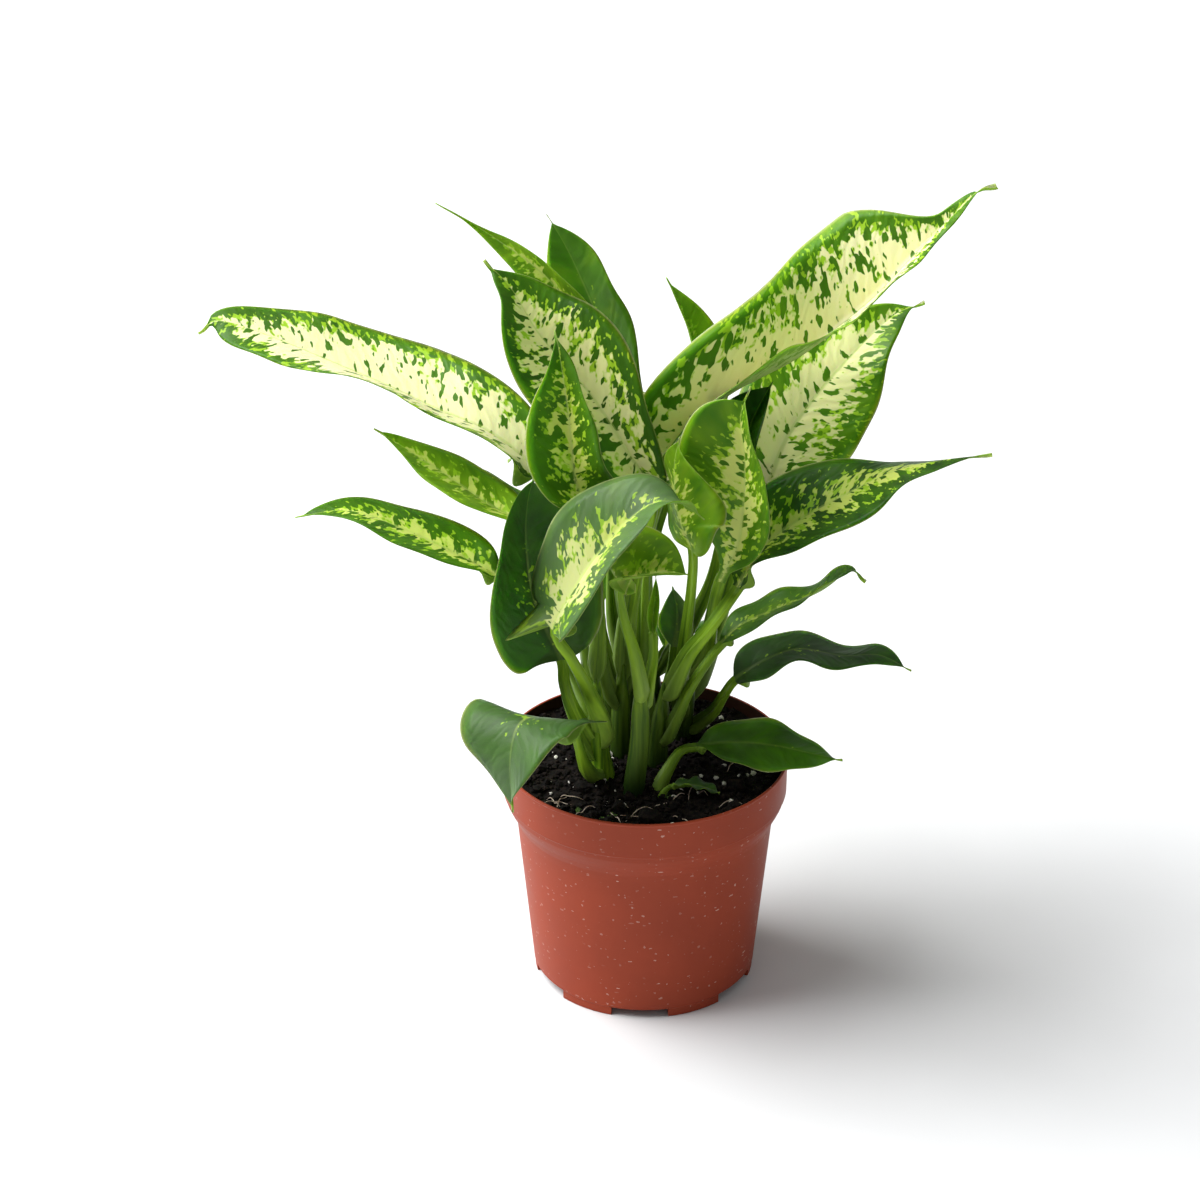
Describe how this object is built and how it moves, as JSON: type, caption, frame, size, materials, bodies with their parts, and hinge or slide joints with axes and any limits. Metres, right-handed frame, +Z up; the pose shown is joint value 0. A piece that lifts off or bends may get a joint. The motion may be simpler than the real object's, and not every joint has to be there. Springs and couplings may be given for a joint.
{
  "type": "potted dieffenbachia",
  "caption": "Young dieffenbachia house plant: broad cream-and-green speckled leaves on long channelled stalks, rising from short canes in the soil of a round terracotta-coloured nursery pot.",
  "frame": {"origin": "on the surface that the pot stands on, under the middle of the whole plant's outer box; the pot's axis stands 21.5 mm towards +X and 24.5 mm towards -Y from it", "axes": "+Z up along the pot's axis and the plant's height, the longest extent; -Y towards the picture's viewer; +X to the picture's right"},
  "size_m": [0.3236, 0.2124, 0.3405],
  "materials": {
    "pot_plastic": "satin moulded polypropylene, finely scuffed",
    "soil": "matt, damp and crumbly peat-based potting soil",
    "stem": "smooth, waxy, light green young cane",
    "leaf": "waxy satin leaf, deep green with cream and yellow-green speckles"
  },
  "bodies": {
    "root": {"pot": "pot_plastic", "soil": "soil", "cane_left": "stem", "cane_front": "stem", "cane_middle": "stem", "cane_right": "stem", "cane_inner": "stem", "cane_rear": "stem", "cane_back": "stem", "leaf_top_right": "leaf", "leaf_right_upper": "leaf", "leaf_right_middle": "leaf", "leaf_far_left": "leaf", "leaf_crown": "leaf", "leaf_crown_back": "leaf", "leaf_crown_rolled": "leaf", "leaf_centre_left": "leaf", "leaf_left_upper": "leaf", "leaf_left_behind": "leaf", "leaf_left_lower": "leaf", "leaf_left_broad": "leaf", "leaf_front": "leaf", "leaf_front_small": "leaf", "leaf_centre": "leaf", "leaf_centre_right": "leaf", "leaf_shade_right": "leaf", "leaf_top_small": "leaf", "leaf_right_twisted": "leaf", "leaf_right_low": "leaf", "leaf_rim_right": "leaf", "leaf_rim_left": "leaf", "leaf_low_small": "leaf", "leaf_inner_small": "leaf", "leaf_back_middle": "leaf", "leaf_back_right": "leaf", "leaf_back_left": "leaf", "leaf_back_low_right": "leaf", "leaf_back_low_left": "leaf", "leaf_spear": "leaf"}
  },
  "joints": []
}
